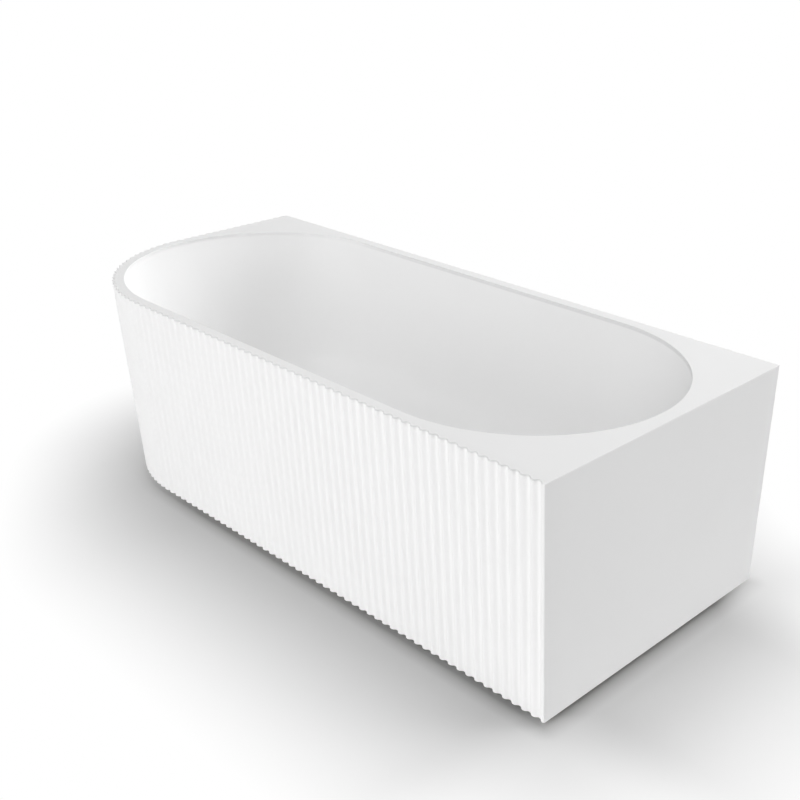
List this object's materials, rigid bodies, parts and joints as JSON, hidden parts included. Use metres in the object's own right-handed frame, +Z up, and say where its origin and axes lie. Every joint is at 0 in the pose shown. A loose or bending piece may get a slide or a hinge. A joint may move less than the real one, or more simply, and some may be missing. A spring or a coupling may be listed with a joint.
{
  "type": "corner bathtub",
  "caption": "Back-to-wall corner bath with a fluted skirt round its free corner, a stadium-shaped bowl with sloping walls, a click waste and screw-adjusted feet.",
  "frame": {"origin": "centre of the footprint, on the floor plane that the feet stand on", "axes": "+X towards the square end, +Y towards the back wall, +Z up"},
  "size_m": [1.6999, 0.7849, 0.55],
  "materials": {
    "white_acrylic": "polished",
    "plywood": "sanded",
    "galvanised_steel": "galvanised",
    "zinc_plated_steel": "zinc plated",
    "stainless_steel": "drawn",
    "black_plastic": "moulded",
    "white_plastic": "moulded",
    "rubber": "moulded",
    "chrome": "plated and polished",
    "brass": "machined"
  },
  "bodies": {
    "bath": {"back_skirt": "white_acrylic", "base_board": "plywood", "basin_shell": "white_acrylic", "board_screws": "zinc_plated_steel", "end_skirt": "white_acrylic", "fluted_skirt": "white_acrylic", "foot_lock_nuts": "zinc_plated_steel", "foot_weld_nuts": "zinc_plated_steel", "frame_cross_inner_left": "galvanised_steel", "frame_cross_inner_right": "galvanised_steel", "frame_cross_left": "galvanised_steel", "frame_cross_right": "galvanised_steel", "frame_rail_back": "galvanised_steel", "frame_rail_front": "galvanised_steel", "plug_cartridge": "white_plastic", "plug_spring": "stainless_steel", "post_caps": "galvanised_steel", "rail_end_caps": "black_plastic", "rim_post_left_back": "galvanised_steel", "rim_post_right_back": "galvanised_steel", "rim_post_right_front": "galvanised_steel", "rim_stiffener_left_back": "plywood", "rim_stiffener_right_back": "plywood", "rim_stiffener_right_front": "plywood", "skirt_blocks": "plywood", "strap_screws": "zinc_plated_steel", "tie_straps": "galvanised_steel", "waste_back_nut": "brass", "waste_body": "chrome", "waste_flange_seal": "rubber", "waste_slip_washer": "white_plastic", "waste_under_seal": "rubber"},
    "plug": {"plug_stem": "stainless_steel", "plug_cap": "chrome", "plug_cap_seal": "rubber"},
    "foot_pad_1": {"foot_pad_1": "black_plastic"},
    "foot_stud_1": {"foot_stud_1": "zinc_plated_steel"},
    "foot_pad_2": {"foot_pad_2": "black_plastic"},
    "foot_stud_2": {"foot_stud_2": "zinc_plated_steel"},
    "foot_pad_3": {"foot_pad_3": "black_plastic"},
    "foot_stud_3": {"foot_stud_3": "zinc_plated_steel"},
    "foot_pad_4": {"foot_pad_4": "black_plastic"},
    "foot_stud_4": {"foot_stud_4": "zinc_plated_steel"},
    "foot_pad_5": {"foot_pad_5": "black_plastic"},
    "foot_stud_5": {"foot_stud_5": "zinc_plated_steel"},
    "foot_pad_6": {"foot_pad_6": "black_plastic"},
    "foot_stud_6": {"foot_stud_6": "zinc_plated_steel"}
  },
  "joints": [
    {"name": "plug_slide", "type": "slide", "parent": "bath", "child": "plug", "axis": [0, 0, 1], "range_m": [0, 0.01], "deforming": ["plug_spring"]},
    {"name": "foot_slide_1", "type": "slide", "parent": "bath", "child": "foot_pad_1", "axis": [0, 0, -1], "range_m": [-0.008, 0.015]},
    {"name": "foot_turn_1", "type": "hinge", "parent": "foot_pad_1", "child": "foot_stud_1", "pos_m": [-0.459, -0.295, 0.06], "axis": [0, 0, 1], "range_deg": [-3086, 1646]},
    {"name": "foot_slide_2", "type": "slide", "parent": "bath", "child": "foot_pad_2", "axis": [0, 0, -1], "range_m": [-0.008, 0.015]},
    {"name": "foot_turn_2", "type": "hinge", "parent": "foot_pad_2", "child": "foot_stud_2", "pos_m": [0.136, -0.295, 0.06], "axis": [0, 0, 1], "range_deg": [-3086, 1646]},
    {"name": "foot_slide_3", "type": "slide", "parent": "bath", "child": "foot_pad_3", "axis": [0, 0, -1], "range_m": [-0.008, 0.015]},
    {"name": "foot_turn_3", "type": "hinge", "parent": "foot_pad_3", "child": "foot_stud_3", "pos_m": [0.731, -0.295, 0.06], "axis": [0, 0, 1], "range_deg": [-3086, 1646]},
    {"name": "foot_slide_4", "type": "slide", "parent": "bath", "child": "foot_pad_4", "axis": [0, 0, -1], "range_m": [-0.008, 0.015]},
    {"name": "foot_turn_4", "type": "hinge", "parent": "foot_pad_4", "child": "foot_stud_4", "pos_m": [-0.714, 0.35, 0.06], "axis": [0, 0, 1], "range_deg": [-3086, 1646]},
    {"name": "foot_slide_5", "type": "slide", "parent": "bath", "child": "foot_pad_5", "axis": [0, 0, -1], "range_m": [-0.008, 0.015]},
    {"name": "foot_turn_5", "type": "hinge", "parent": "foot_pad_5", "child": "foot_stud_5", "pos_m": [0, 0.35, 0.06], "axis": [0, 0, 1], "range_deg": [-3086, 1646]},
    {"name": "foot_slide_6", "type": "slide", "parent": "bath", "child": "foot_pad_6", "axis": [0, 0, -1], "range_m": [-0.008, 0.015]},
    {"name": "foot_turn_6", "type": "hinge", "parent": "foot_pad_6", "child": "foot_stud_6", "pos_m": [0.731, 0.35, 0.06], "axis": [0, 0, 1], "range_deg": [-3086, 1646]}
  ],
  "couplings": [
    {"joint": "foot_turn_1", "follows": "foot_slide_1", "rad_per_m": -3590.4},
    {"joint": "foot_turn_2", "follows": "foot_slide_2", "rad_per_m": -3590.4},
    {"joint": "foot_turn_3", "follows": "foot_slide_3", "rad_per_m": -3590.4},
    {"joint": "foot_turn_4", "follows": "foot_slide_4", "rad_per_m": -3590.4},
    {"joint": "foot_turn_5", "follows": "foot_slide_5", "rad_per_m": -3590.4},
    {"joint": "foot_turn_6", "follows": "foot_slide_6", "rad_per_m": -3590.4}
  ]
}
